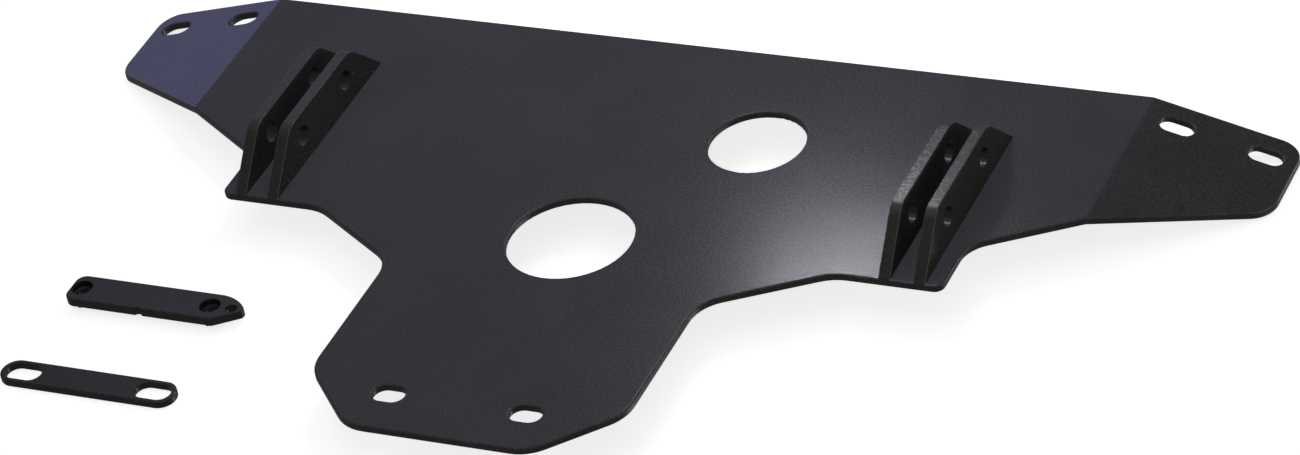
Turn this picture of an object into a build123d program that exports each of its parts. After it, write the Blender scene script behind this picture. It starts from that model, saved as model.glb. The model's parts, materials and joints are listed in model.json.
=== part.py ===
"""Plow mount plate kit for an all-terrain vehicle: a bent plate with two welded clevises,
a nut strap with two weld nuts, and a slotted clamping strap.

Millimetres. +Z is up, away from the plate's top face, and +Y points to the plate's straight
back edge. The origin is on the plate's underside, on its centreline, midway between the two
rows of clevis pin holes. The kit lies on a bench: the wing tips and both straps touch it.
"""

import os
from math import cos, radians, sin, tan

from build123d import *

# ---------------------------------------------------------------- driving dimensions
PLATE_THICKNESS = 6.35  # 1/4 in sheet
EDGE_RADIUS = 1.5  # broken, powder-coated edges

# Outline of the plate. Every x is a distance from the centreline.
BACK_Y = 165.3
WING_TIP_FRONT_Y = 80.5
FRONT_EDGE_ANGLE = 31.2  # of both slanted front edges, from the X axis
TAB_X = 308.6
TAB_FRONT_Y = -95.25
NECK_X = 132.1
NECK_Y = -148.8
TONGUE_SHOULDER_Y = -283.4
TONGUE_FRONT_X = 76.0
TONGUE_FRONT_Y = -339.7
CORNER_RADII = {
    "wing_back": 18.0,
    "wing_front": 30.0,
    "tab_root": 28.0,
    "tab_corner": 8.0,
    "tab_end": 38.0,
    "neck": 32.0,
    "tongue_shoulder": 35.0,
    "tongue_front": 35.0,
}

# Wings, bent down
BEND_X = 386.0  # where the two top faces would meet
BEND_ANGLE = 15.0
BEND_OUTER_RADIUS = 12.0
BEND_INNER_RADIUS = BEND_OUTER_RADIUS - PLATE_THICKNESS
WING_LENGTH = 124.0  # from BEND_X, along the slope

# Holes and slots in the plate
ACCESS_HOLE_DIAMETER = 101.6
ACCESS_HOLE_Y = -93.6
SIDE_HOLE_DIAMETER = 78.8
SIDE_HOLE_X = 97.0
SIDE_HOLE_Y = 50.9
TONGUE_SLOT_WIDTH = 18.0
TONGUE_SLOT_LENGTH = 26.4
TONGUE_SLOT_SPACING = 114.3  # 4 1/2 in
TONGUE_SLOT_Y = -299.7
WING_SLOT_WIDTH = 16.2
WING_SLOT_LENGTH = 28.0
WING_SLOT_FIRST = 27.4  # from BEND_X, along the slope
WING_SLOT_SPACING = 72.3
WING_SLOT_Y = 141.0

# Clevis ears
EAR_THICKNESS = 9.525  # 3/8 in
CLEVIS_GAP = 19.05  # 3/4 in
CLEVIS_CENTRE_X = 276.4
EAR_LENGTH = 190.5
EAR_HEIGHT = 41.0
EAR_END_ANGLE = 45.0
EAR_TOP_RADIUS = 20.0
EAR_EDGE_RADIUS = 0.8
PIN_HOLE_DIAMETER = 16.7  # for a 5/8 in pin
PIN_HOLE_SPACING = 76.2
PIN_HOLE_HEIGHT = 22.2  # above the plate's top face

# Straps
STRAP_X = -326.5
STRAP_HOLE_SPACING = 115.9  # 4 9/16 in, within the reach of the tongue's slots
STRAP_EDGE_RADIUS = 1.2
SLOTTED_STRAP_Y = -301.1
SLOTTED_STRAP_THICKNESS = 6.35
SLOTTED_STRAP_WIDTH = 26.2
SLOTTED_STRAP_SLOT_WIDTH = 18.0
SLOTTED_STRAP_SLOT_LENGTH = 30.6
SLOTTED_STRAP_RIM = 4.4  # metal left around a slot's end
NUT_STRAP_Y = -202.05  # of the line of holes
NUT_STRAP_THICKNESS = 7.94
NUT_STRAP_WIDTH = 30.7
NUT_STRAP_LEFT_END = 10.1  # from the left hole's centre
NUT_STRAP_LEFT_RADIUS = 8.5
NUT_HOLE_DIAMETER = 17.4
NOTCH_WIDTH = 6.0
NOTCH_DEPTH = 1.8

# Nose of the nut strap, from the right hole's centre: an arc off the back edge, a small
# round tip and a straight slant to the front edge
NOSE_ARC_START_X = 2.9
NOSE_ARC_RADIUS = 33.5
NOSE_ARC_ANGLE = 56.0
NOSE_TIP_RADIUS = 4.5
NOSE_FRONT_X = 7.6
TIP_HOLE_X = 19.05
TIP_HOLE_DIAMETER = 9.7

# Weld nuts, 1/2-13, with a pilot up inside the strap's hole
NUT_ACROSS_FLATS = 19.05
NUT_BODY_HEIGHT = 5.0
NUT_CORNER_CHAMFER = 1.0
NUT_PILOT_DIAMETER = 16.8
NUT_PILOT_HEIGHT = 3.8
NUT_BORE_DIAMETER = 10.8
NUT_LEAD_CHAMFER = 1.5

# ---------------------------------------------------------------- derived places
FRONT_SLOPE = tan(radians(FRONT_EDGE_ANGLE))
BEND_SIN = sin(radians(BEND_ANGLE))
BEND_COS = cos(radians(BEND_ANGLE))
MITRE = PLATE_THICKNESS * tan(radians(BEND_ANGLE / 2))
WING_TIP_X = BEND_X + WING_LENGTH * BEND_COS
TAB_ROOT_Y = WING_TIP_FRONT_Y - (BEND_X + WING_LENGTH - TAB_X) * FRONT_SLOPE
TAB_END_X = NECK_X + (TAB_FRONT_Y - NECK_Y) / FRONT_SLOPE
WING_DROP = BEND_SIN / BEND_COS  # down, for each unit outwards
SHARP_TIP_Z = -(WING_TIP_X - BEND_X + MITRE) * WING_DROP
BENCH_Z = SHARP_TIP_Z + EDGE_RADIUS * (WING_DROP + 1 / BEND_COS - 1)  # under the rounded tip

CUT_REACH = 400.0  # taller or longer than anything it cuts
RIGHT_WING_TOP = Plane(
    origin=(BEND_X, 0, PLATE_THICKNESS),
    x_dir=(BEND_COS, 0, -BEND_SIN),
    z_dir=(BEND_SIN, 0, BEND_COS),
)


def round_corners(sketch, corners):
    """Round the sketch's corner nearest each (x, y) with its named radius."""
    for (x, y), name in corners.items():
        vertex = sketch.vertices().sort_by_distance((x, y, 0))[0]
        fillet(vertex, radius=CORNER_RADII[name])


def facing(part, upwards):
    """The part's faces that look up, or down, within a wing's slope of vertical."""
    sign = 1 if upwards else -1
    return [face for face in part.faces() if sign * face.normal_at(face.center()).Z > 0.9]


def rim(faces):
    """The edges around a group of faces, without those that two of its faces share."""
    edges = [edge for face in faces for edge in face.edges()]
    return [edge for edge in edges if sum(edge.is_same(other) for other in edges) == 1]


def save(piece, name):
    piece.part.label = name
    export_step(piece.part, f"parts/{name}.step")


os.makedirs("parts", exist_ok=True)

# ---------------------------------------------------------------- mount plate
with BuildPart() as mount_plate:
    with BuildSketch(Plane.XZ) as bent_section:
        with BuildLine():
            right_half = Polyline(
                (0, PLATE_THICKNESS),
                (BEND_X, PLATE_THICKNESS),
                (BEND_X + CUT_REACH, PLATE_THICKNESS - CUT_REACH * WING_DROP),
                (BEND_X + CUT_REACH, -(CUT_REACH + MITRE) * WING_DROP),
                (BEND_X - MITRE, 0),
                (0, 0),
            )
            mirror(right_half, about=Plane.YZ)
        make_face()
        bends = bent_section.vertices().filter_by(lambda v: abs(abs(v.X) - BEND_X) < 2 * MITRE)
        fillet(bends.filter_by(lambda v: v.Y > 0.1), radius=BEND_OUTER_RADIUS)
        bends = bent_section.vertices().filter_by(lambda v: abs(abs(v.X) - BEND_X) < 2 * MITRE)
        fillet(bends.filter_by(lambda v: abs(v.Y) < 0.001), radius=BEND_INNER_RADIUS)
    extrude(amount=CUT_REACH, both=True)

    with BuildSketch() as plate_outline:
        with BuildLine():
            right_side = Polyline(
                (0, BACK_Y),
                (WING_TIP_X, BACK_Y),
                (WING_TIP_X, WING_TIP_FRONT_Y),
                (TAB_X, TAB_ROOT_Y),
                (TAB_X, TAB_FRONT_Y),
                (TAB_END_X, TAB_FRONT_Y),
                (NECK_X, NECK_Y),
                (NECK_X, TONGUE_SHOULDER_Y),
                (TONGUE_FRONT_X, TONGUE_FRONT_Y),
                (0, TONGUE_FRONT_Y),
            )
            mirror(right_side, about=Plane.YZ)
        make_face()
        for side in (1, -1):
            round_corners(
                plate_outline,
                {
                    (side * WING_TIP_X, BACK_Y): "wing_back",
                    (side * WING_TIP_X, WING_TIP_FRONT_Y): "wing_front",
                    (side * TAB_X, TAB_ROOT_Y): "tab_root",
                    (side * TAB_X, TAB_FRONT_Y): "tab_corner",
                    (side * TAB_END_X, TAB_FRONT_Y): "tab_end",
                    (side * NECK_X, NECK_Y): "neck",
                    (side * NECK_X, TONGUE_SHOULDER_Y): "tongue_shoulder",
                    (side * TONGUE_FRONT_X, TONGUE_FRONT_Y): "tongue_front",
                },
            )
        with Locations((0, ACCESS_HOLE_Y)):
            Circle(ACCESS_HOLE_DIAMETER / 2, mode=Mode.SUBTRACT)
        with Locations((SIDE_HOLE_X, SIDE_HOLE_Y)):
            Circle(SIDE_HOLE_DIAMETER / 2, mode=Mode.SUBTRACT)
        with Locations((0, TONGUE_SLOT_Y)), GridLocations(TONGUE_SLOT_SPACING, 0, 2, 1):
            SlotOverall(TONGUE_SLOT_LENGTH, TONGUE_SLOT_WIDTH, mode=Mode.SUBTRACT)
    extrude(amount=CUT_REACH, both=True, mode=Mode.INTERSECT)

    with BuildSketch(RIGHT_WING_TOP) as wing_slots:
        for distance in (WING_SLOT_FIRST, WING_SLOT_FIRST + WING_SLOT_SPACING):
            with Locations((distance, WING_SLOT_Y)):
                SlotOverall(WING_SLOT_LENGTH, WING_SLOT_WIDTH)
    slot_cutters = extrude(amount=2 * PLATE_THICKNESS, both=True, mode=Mode.SUBTRACT)
    mirror(slot_cutters, about=Plane.YZ, mode=Mode.SUBTRACT)

    for upwards in (True, False):
        fillet(rim(facing(mount_plate.part, upwards)), radius=EDGE_RADIUS)

save(mount_plate, "mount_plate")

# ---------------------------------------------------------------- clevis ears
# Four ears of one shape, welded to the plate's top face in two pairs.
ear_offset = CLEVIS_GAP / 2 + EAR_THICKNESS / 2
EAR_CENTRES = {
    "ear_left_outer": -CLEVIS_CENTRE_X - ear_offset,
    "ear_left_inner": -CLEVIS_CENTRE_X + ear_offset,
    "ear_right_inner": CLEVIS_CENTRE_X - ear_offset,
    "ear_right_outer": CLEVIS_CENTRE_X + ear_offset,
}
EAR_TOP_HALF = EAR_LENGTH / 2 - EAR_HEIGHT / tan(radians(EAR_END_ANGLE))

for ear_name, ear_x in EAR_CENTRES.items():
    with BuildPart() as ear:
        ear_plane = Plane(origin=(ear_x, 0, PLATE_THICKNESS), x_dir=(0, 1, 0), z_dir=(1, 0, 0))
        with BuildSketch(ear_plane) as ear_profile:
            with BuildLine():
                Polyline(
                    (-EAR_LENGTH / 2, 0),
                    (-EAR_TOP_HALF, EAR_HEIGHT),
                    (EAR_TOP_HALF, EAR_HEIGHT),
                    (EAR_LENGTH / 2, 0),
                    close=True,
                )
            make_face()
            fillet(ear_profile.vertices().group_by(Axis.Y)[-1], radius=EAR_TOP_RADIUS)
            with Locations((0, PIN_HOLE_HEIGHT)), GridLocations(PIN_HOLE_SPACING, 0, 2, 1):
                Circle(PIN_HOLE_DIAMETER / 2, mode=Mode.SUBTRACT)
        extrude(amount=EAR_THICKNESS / 2, both=True)
        base = ear.faces().sort_by(Axis.Z)[0]
        side_rims = [face.outer_wire().edges() for face in ear.faces().filter_by(Axis.X)]
        free_edges = [edge for rim_edges in side_rims for edge in rim_edges]
        free_edges = [edge for edge in free_edges if edge.center().Z > base.center().Z + 1]
        fillet(free_edges, radius=EAR_EDGE_RADIUS)
    save(ear, ear_name)

# ---------------------------------------------------------------- nut strap
LEFT_NUT_X = STRAP_X - STRAP_HOLE_SPACING / 2
RIGHT_NUT_X = STRAP_X + STRAP_HOLE_SPACING / 2
NUT_STRAP_UNDERSIDE_Z = BENCH_Z + NUT_BODY_HEIGHT

with BuildPart() as nut_strap:
    # Sketch origin on the right hole's centre
    strap_plane = Plane(origin=(RIGHT_NUT_X, NUT_STRAP_Y, NUT_STRAP_UNDERSIDE_Z))
    with BuildSketch(strap_plane) as strap_profile:
        with BuildLine():
            left_x = -STRAP_HOLE_SPACING - NUT_STRAP_LEFT_END
            back_y = NUT_STRAP_WIDTH / 2
            front_y = -back_y
            notch_x = -STRAP_HOLE_SPACING / 2
            notch_right = (notch_x + NOTCH_WIDTH / 2, front_y)
            notch_left = (notch_x - NOTCH_WIDTH / 2, front_y)
            back_edge = Line((left_x, back_y), (NOSE_ARC_START_X, back_y))
            nose_arc = JernArc(back_edge @ 1, (1, 0), NOSE_ARC_RADIUS, -NOSE_ARC_ANGLE)
            Polyline(nose_arc @ 1, (NOSE_FRONT_X, front_y), notch_right)
            ThreePointArc(notch_right, (notch_x, front_y + NOTCH_DEPTH), notch_left)
            Polyline(notch_left, (left_x, front_y), back_edge @ 0)
        make_face()
        fillet(strap_profile.vertices().group_by(Axis.X)[0], radius=NUT_STRAP_LEFT_RADIUS)
        fillet(strap_profile.vertices().sort_by(Axis.X)[-1], radius=NOSE_TIP_RADIUS)
        with Locations((0, 0), (-STRAP_HOLE_SPACING, 0)):
            Circle(NUT_HOLE_DIAMETER / 2, mode=Mode.SUBTRACT)
        with Locations((TIP_HOLE_X, 0)):
            Circle(TIP_HOLE_DIAMETER / 2, mode=Mode.SUBTRACT)
    extrude(amount=NUT_STRAP_THICKNESS)
    for upwards in (True, False):
        outer_wire = facing(nut_strap.part, upwards)[0].outer_wire()
        fillet(outer_wire.edges(), radius=STRAP_EDGE_RADIUS)

save(nut_strap, "nut_strap")

# ---------------------------------------------------------------- weld nuts
for nut_name, nut_x in {"weld_nut_left": LEFT_NUT_X, "weld_nut_right": RIGHT_NUT_X}.items():
    with BuildPart() as weld_nut:
        with BuildSketch(Plane(origin=(nut_x, NUT_STRAP_Y, BENCH_Z))):
            RegularPolygon(NUT_ACROSS_FLATS / 2, 6, major_radius=False, rotation=30)
        extrude(amount=NUT_BODY_HEIGHT)
        chamfer(weld_nut.faces().sort_by(Axis.Z)[0].edges(), length=NUT_CORNER_CHAMFER)
        with BuildSketch(Plane(origin=(nut_x, NUT_STRAP_Y, BENCH_Z + NUT_BODY_HEIGHT))):
            Circle(NUT_PILOT_DIAMETER / 2)
        extrude(amount=NUT_PILOT_HEIGHT)
        with Locations((nut_x, NUT_STRAP_Y, BENCH_Z + NUT_BODY_HEIGHT + NUT_PILOT_HEIGHT)):
            Hole(NUT_BORE_DIAMETER / 2)
        bore_mouth = weld_nut.faces().sort_by(Axis.Z)[-1].inner_wires().edges()
        chamfer(bore_mouth, length=NUT_LEAD_CHAMFER)
    save(weld_nut, nut_name)

# ---------------------------------------------------------------- slotted strap
with BuildPart() as slotted_strap:
    with BuildSketch(Plane(origin=(STRAP_X, SLOTTED_STRAP_Y, BENCH_Z))):
        end_reach = SLOTTED_STRAP_SLOT_LENGTH / 2 + SLOTTED_STRAP_RIM  # from a slot's centre
        SlotOverall(STRAP_HOLE_SPACING + 2 * end_reach, SLOTTED_STRAP_WIDTH)
        with GridLocations(STRAP_HOLE_SPACING, 0, 2, 1):
            SlotOverall(SLOTTED_STRAP_SLOT_LENGTH, SLOTTED_STRAP_SLOT_WIDTH, mode=Mode.SUBTRACT)
    extrude(amount=SLOTTED_STRAP_THICKNESS)
    for upwards in (True, False):
        fillet(rim(facing(slotted_strap.part, upwards)), radius=STRAP_EDGE_RADIUS)

save(slotted_strap, "slotted_strap")
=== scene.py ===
"""Looks, light and camera for the plow mount plate kit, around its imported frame."""

import json

import bpy
from mathutils import Matrix, Vector

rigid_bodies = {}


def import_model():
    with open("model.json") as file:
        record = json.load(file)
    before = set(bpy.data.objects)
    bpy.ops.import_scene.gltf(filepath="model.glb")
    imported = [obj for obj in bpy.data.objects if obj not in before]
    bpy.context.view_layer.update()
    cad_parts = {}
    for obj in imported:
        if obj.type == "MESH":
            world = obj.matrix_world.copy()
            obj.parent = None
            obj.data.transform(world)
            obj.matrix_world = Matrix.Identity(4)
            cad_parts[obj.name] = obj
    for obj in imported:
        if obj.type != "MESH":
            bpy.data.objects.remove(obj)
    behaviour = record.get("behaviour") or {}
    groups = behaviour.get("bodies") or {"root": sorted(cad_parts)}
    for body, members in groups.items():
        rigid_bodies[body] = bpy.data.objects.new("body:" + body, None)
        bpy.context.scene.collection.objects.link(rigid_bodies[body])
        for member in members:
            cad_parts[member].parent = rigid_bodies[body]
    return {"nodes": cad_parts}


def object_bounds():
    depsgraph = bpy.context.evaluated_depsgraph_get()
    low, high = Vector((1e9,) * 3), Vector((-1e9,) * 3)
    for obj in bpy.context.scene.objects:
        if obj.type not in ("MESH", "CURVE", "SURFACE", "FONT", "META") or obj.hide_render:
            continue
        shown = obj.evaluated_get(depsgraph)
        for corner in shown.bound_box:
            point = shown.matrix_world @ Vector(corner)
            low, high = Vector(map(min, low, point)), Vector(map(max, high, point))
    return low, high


for leftover in list(bpy.data.objects):
    bpy.data.objects.remove(leftover)

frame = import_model()
nodes = frame["nodes"]
cad_low, cad_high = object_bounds()
scene = bpy.context.scene
scene.view_settings.view_transform = "Standard"

EARS = ("ear_left_outer", "ear_left_inner", "ear_right_inner", "ear_right_outer")
STRAPS = ("nut_strap", "slotted_strap")
NUTS = ("weld_nut_left", "weld_nut_right")


# ---------------------------------------------------------------- camera
CAMERA_PLACE = Vector((1.68738, -2.82365, 2.30546))
CAMERA_RIGHT = Vector((0.902915, 0.397163, -0.164335))
CAMERA_UP = Vector((-0.116871, 0.594785, 0.795344))
CAMERA_BACK = Vector((0.413625, -0.698922, 0.583457))
LENS_MM = 142.14
SENSOR_MM = 36.0
CAMERA_REACH = 50.0


def add_camera():
    data = bpy.data.cameras.new("camera")
    data.sensor_fit = "HORIZONTAL"
    data.sensor_width = SENSOR_MM
    data.lens = LENS_MM
    data.clip_end = CAMERA_REACH
    camera = bpy.data.objects.new("camera", data)
    scene.collection.objects.link(camera)
    turn = Matrix((CAMERA_RIGHT, CAMERA_UP, CAMERA_BACK)).transposed()
    camera.matrix_world = Matrix.Translation(CAMERA_PLACE) @ turn.to_4x4()
    scene.camera = camera


# ---------------------------------------------------------------- light
WHITE = (1.0, 1.0, 1.0)
WARM = (1.0, 1.0, 0.78)
PALE = (0.91, 0.91, 1.0)
COOL = (0.66, 0.66, 1.0)
VIOLET = (0.39, 0.39, 1.0)

# name: (direction it stands in, distance, size, power, colour, the point it faces)
# right_low and right_under stand below the floor, which casts no shadow.
SOFTBOXES = {
    "overhead": ((0, -0.10, 1), 2.6, (3.0, 2.2), 5.2, WARM, (0, 0, 0)),
    "back_panel": ((-0.30, 0.74, 0.60), 2.4, (2.2, 1.2), 2.1, COOL, (0, 0, 0)),
    "back_high": ((-0.34, 0.62, 0.95), 1.8, (1.6, 0.5), 0.4, WHITE, (0, -0.1, 0)),
    "back_spot": ((-0.355, 0.70, 0.66), 0.85, (0.12, 0.08), 0.60, PALE, (0.214, -0.10, 0)),
    "spot_high": ((-0.30, 0.55, 0.95), 0.9, (0.25, 0.25), 0.72, WHITE, (0.23, -0.10, 0)),
    "violet_low": ((-0.70, 0.68, 0.22), 2.0, (1.2, 0.5), 1.55, VIOLET, (-0.45, 0.1, 0)),
    "right_side": ((1.0, 0.05, 0.10), 2.2, (1.6, 1.0), 5.0, WARM, (0, 0, 0)),
    "right_low": ((0.66, 0.68, -0.30), 2.0, (0.8, 0.5), 2.4, WHITE, (-0.3, 0, 0)),
    "right_under": ((0.72, 0.38, -0.58), 1.8, (0.8, 0.5), 1.2, WHITE, (-0.3, -0.2, 0)),
}
SPOT_SIZE = 0.15  # smaller lights reach glossy faces by direct rays alone, which the ears block


def add_softbox(name, towards, distance, size, power, colour, aim):
    """A soft area light that stands `distance` along `towards` from `aim` and faces it."""
    data = bpy.data.lights.new(name, "AREA")
    data.shape = "RECTANGLE"
    data.size, data.size_y = size
    data.cycles.use_multiple_importance_sampling = min(size) > SPOT_SIZE
    data.energy = power
    data.color = colour
    light = bpy.data.objects.new(name, data)
    scene.collection.objects.link(light)
    direction = Vector(towards).normalized()
    light.location = Vector(aim) + direction * distance
    light.rotation_euler = direction.to_track_quat("Z", "Y").to_euler()
    light.visible_camera = False


ROOM_COLOUR = (1.0, 1.0, 1.0, 1)
ROOM_STRENGTH = 0.15
BACKDROP_COLOUR = (0.95, 0.95, 0.95, 1)


def add_world():
    """A dim room around the object, and a pale backdrop behind it."""
    world = bpy.data.worlds.new("studio")
    world.use_nodes = True
    tree = world.node_tree
    tree.nodes.clear()
    output = tree.nodes.new("ShaderNodeOutputWorld")
    mix = tree.nodes.new("ShaderNodeMixShader")
    path = tree.nodes.new("ShaderNodeLightPath")
    room = tree.nodes.new("ShaderNodeBackground")
    backdrop = tree.nodes.new("ShaderNodeBackground")
    room.inputs["Color"].default_value = ROOM_COLOUR
    room.inputs["Strength"].default_value = ROOM_STRENGTH
    backdrop.inputs["Color"].default_value = BACKDROP_COLOUR
    tree.links.new(path.outputs["Is Camera Ray"], mix.inputs["Fac"])
    tree.links.new(room.outputs[0], mix.inputs[1])
    tree.links.new(backdrop.outputs[0], mix.inputs[2])
    tree.links.new(mix.outputs[0], output.inputs["Surface"])
    scene.world = world


FLOOR_HALF = 6.0
FLOOR_COLOUR = (0.9, 0.9, 0.9, 1)
FLOOR_ROUGHNESS = 0.9
FLOOR_GLOW = 0.80


def add_floor():
    mesh = bpy.data.meshes.new("floor")
    half, z = FLOOR_HALF, cad_low.z
    corners = [(-half, -half, z), (half, -half, z), (half, half, z), (-half, half, z)]
    mesh.from_pydata(corners, [], [(0, 1, 2, 3)])
    floor = bpy.data.objects.new("floor", mesh)
    scene.collection.objects.link(floor)
    material = bpy.data.materials.new("pale_floor")
    material.use_nodes = True
    shader = material.node_tree.nodes["Principled BSDF"]
    shader.inputs["Base Color"].default_value = FLOOR_COLOUR
    shader.inputs["Roughness"].default_value = FLOOR_ROUGHNESS
    shader.inputs["Emission Color"].default_value = (1, 1, 1, 1)
    shader.inputs["Emission Strength"].default_value = FLOOR_GLOW
    mesh.materials.append(material)
    floor.visible_glossy = False
    floor.visible_diffuse = False
    floor.visible_shadow = False


# ---------------------------------------------------------------- materials
EDGE_LEAN = (0.12, 0.35)  # lean of the normal over which the painted edge highlight fades in, from one flat face
FLAT_LEAN = (0.955, 0.905)  # and out again, to the other
PEEL_RANGE = (0.35, 0.65)
GLOSS_RANGE = (0.3, 0.7)
CLOUD_SIZE = 0.09
CLOUD_RANGE = (0.3, 0.7)
CLOUD_SHADES = (0.85, 1.15)
DUST_PER_GRAIN = 3
DUST_STRENGTH = 0.5


def node(tree, kind, **values):
    made = tree.nodes.new(kind)
    for name, value in values.items():
        made.inputs[name].default_value = value
    return made


def mapped(tree, value, source, target):
    """The value, mapped from the source range to the target range."""
    ramp = tree.nodes.new("ShaderNodeMapRange")
    for name, number in zip(("From Min", "From Max", "To Min", "To Max"), source + target):
        ramp.inputs[name].default_value = number
    tree.links.new(value, ramp.inputs["Value"])
    return ramp.outputs["Result"]


def scaled(tree, colour, factor):
    """The colour, multiplied by a factor that varies over the surface."""
    product = tree.nodes.new("ShaderNodeVectorMath")
    product.operation = "SCALE"
    tree.links.new(colour, product.inputs["Vector"])
    tree.links.new(factor, product.inputs["Scale"])
    return product.outputs["Vector"]


def edge_highlight_mask(tree, place, axis):
    """1 on rounded edges, where the normal leans between the two flat faces that they join; a highlight is
    painted there.
    """
    split = tree.nodes.new("ShaderNodeSeparateXYZ")
    tree.links.new(place.outputs["Normal"], split.inputs["Vector"])
    lean = tree.nodes.new("ShaderNodeMath")
    lean.operation = "ABSOLUTE"
    tree.links.new(split.outputs[axis], lean.inputs[0])
    mask = tree.nodes.new("ShaderNodeMath")
    mask.operation = "MULTIPLY"
    for slot, leans in enumerate((EDGE_LEAN, FLAT_LEAN)):
        ramp = mapped(tree, lean.outputs[0], leans, (0, 1))
        tree.links.new(ramp, mask.inputs[slot])
    return mask.outputs[0]


def powder_coat(
    name,
    base,
    grain=0.0021,
    depth=0.00011,
    roughness=0.22,
    sparkle=0.03,
    gleam=0.5,
    mottle=0.30,
    edge_axis="Z",
    edge=1.8,
):
    """Satin black powder coat: fine orange peel, mottled at the same scale, with a highlight painted paler
    onto rounded edges.
    """
    material = bpy.data.materials.new(name)
    material.use_nodes = True
    tree = material.node_tree
    shader = tree.nodes["Principled BSDF"]
    shader.inputs["Specular IOR Level"].default_value = gleam
    place = tree.nodes.new("ShaderNodeTexCoord")

    def noise(size, detail, rough=0.5):
        made = node(tree, "ShaderNodeTexNoise", Scale=1 / size, Detail=detail, Roughness=rough)
        tree.links.new(place.outputs["Object"], made.inputs["Vector"])
        return made

    peel = noise(grain, 2.0)
    dust = noise(grain / DUST_PER_GRAIN, 1.0)
    cloud = noise(CLOUD_SIZE, 3.0)

    tint = tree.nodes.new("ShaderNodeValToRGB")
    for stop, position, shade in zip(tint.color_ramp.elements, CLOUD_RANGE, CLOUD_SHADES):
        stop.position = position
        stop.color = tuple(shade * c for c in base) + (1,)
    tree.links.new(cloud.outputs["Fac"], tint.inputs["Fac"])

    speck = mapped(tree, peel.outputs["Fac"], PEEL_RANGE, (1 - mottle, 1 + mottle))
    # painted highlight: the base colour is made paler on rounded edges to stand in for gloss caught along
    # them
    painted_edge_highlight = mapped(tree, edge_highlight_mask(tree, place, edge_axis), (0, 1), (1.0, edge))
    speckled = scaled(tree, tint.outputs["Color"], speck)
    tree.links.new(scaled(tree, speckled, painted_edge_highlight), shader.inputs["Base Color"])

    gloss = mapped(tree, peel.outputs["Fac"], GLOSS_RANGE, (roughness - sparkle, roughness + sparkle))
    tree.links.new(gloss, shader.inputs["Roughness"])

    fine = node(tree, "ShaderNodeBump", Strength=DUST_STRENGTH, Distance=depth / DUST_PER_GRAIN)
    coarse = node(tree, "ShaderNodeBump", Strength=1.0, Distance=depth)
    tree.links.new(dust.outputs["Fac"], fine.inputs["Height"])
    tree.links.new(peel.outputs["Fac"], coarse.inputs["Height"])
    tree.links.new(fine.outputs["Normal"], coarse.inputs["Normal"])
    tree.links.new(coarse.outputs["Normal"], shader.inputs["Normal"])
    return material


def finish_node(name, material):
    for slot in nodes[name].material_slots:
        slot.material = material


add_camera()
add_world()
add_floor()
for box_name, box_values in SOFTBOXES.items():
    add_softbox(box_name, *box_values)

plate_coat = powder_coat("plate_coat", (0.040, 0.040, 0.044))
ear_coat = powder_coat(
    "ear_coat",
    (0.042, 0.042, 0.043),
    grain=0.0026,
    depth=0.00005,
    roughness=0.27,
    gleam=0.6,
    mottle=0.10,
    edge_axis="X",
)
strap_coat = powder_coat("strap_coat", (0.026, 0.026, 0.030), depth=0.00004)
nut_coat = powder_coat("nut_coat", (0.012, 0.012, 0.013), grain=0.0015, depth=0.0001)
finish_node("mount_plate", plate_coat)
for ear in EARS:
    finish_node(ear, ear_coat)
    nodes[ear].visible_glossy = False  # keeps the broad sheen of the plate even beside the ears
for strap in STRAPS:
    finish_node(strap, strap_coat)
for nut in NUTS:
    finish_node(nut, nut_coat)
